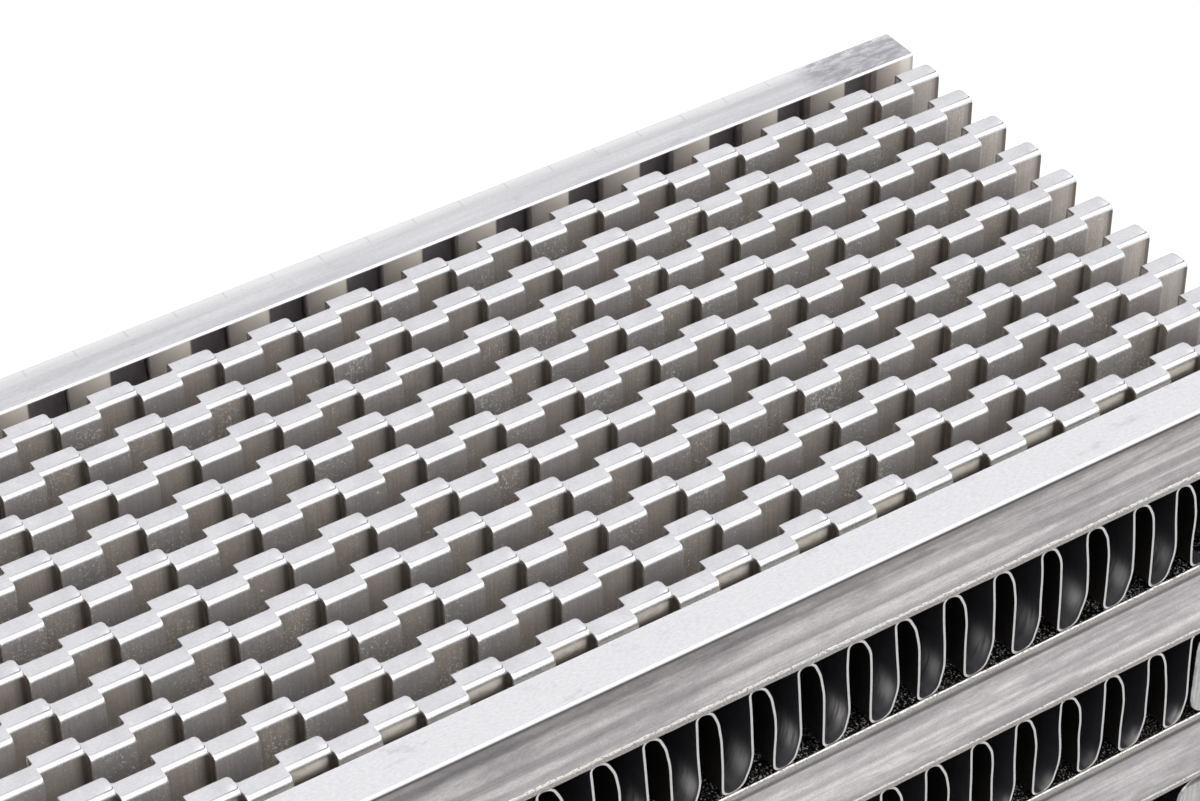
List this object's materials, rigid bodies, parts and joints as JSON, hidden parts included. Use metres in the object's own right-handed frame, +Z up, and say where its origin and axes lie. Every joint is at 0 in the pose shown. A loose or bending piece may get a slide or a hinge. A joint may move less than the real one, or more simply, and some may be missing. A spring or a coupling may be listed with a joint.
{
  "type": "intercooler",
  "caption": "Bare core of a bar-and-plate intercooler: lanced charge-air fins and serpentine cooling-air fins in crossed layers between flat sheets and side bars.",
  "frame": {"origin": "middle of the core's bottom face, under the side plate", "axes": "+X along the long bars, the way the charge air flows, to the right; +Y to the back, the way the cooling air flows; +Z up through the stack to the open fin"},
  "size_m": [0.0958, 0.0496, 0.0488],
  "materials": {
    "bar": "brushed lengthwise, matt",
    "sheet": "rolled, with bright braze metal along the edges",
    "charge_fin": "rolled foil, satin, dusty",
    "ambient_fin": "rolled foil, satin"
  },
  "bodies": {
    "root": {"charge_bar_front_1": "bar", "charge_bar_back_1": "bar", "charge_sheet_1": "sheet", "charge_fin_1": "charge_fin", "charge_bar_front_2": "bar", "charge_bar_back_2": "bar", "charge_sheet_2": "sheet", "charge_fin_2": "charge_fin", "charge_bar_front_3": "bar", "charge_bar_back_3": "bar", "charge_sheet_3": "sheet", "charge_fin_3": "charge_fin", "ambient_bar_left_1": "bar", "ambient_bar_right_1": "bar", "ambient_fin_1": "ambient_fin", "ambient_bar_left_2": "bar", "ambient_bar_right_2": "bar", "ambient_fin_2": "ambient_fin", "ambient_bar_left_3": "bar", "ambient_bar_right_3": "bar", "ambient_fin_3": "ambient_fin", "ambient_sheet_1": "sheet", "ambient_sheet_2": "sheet", "side_plate": "sheet"}
  },
  "joints": []
}
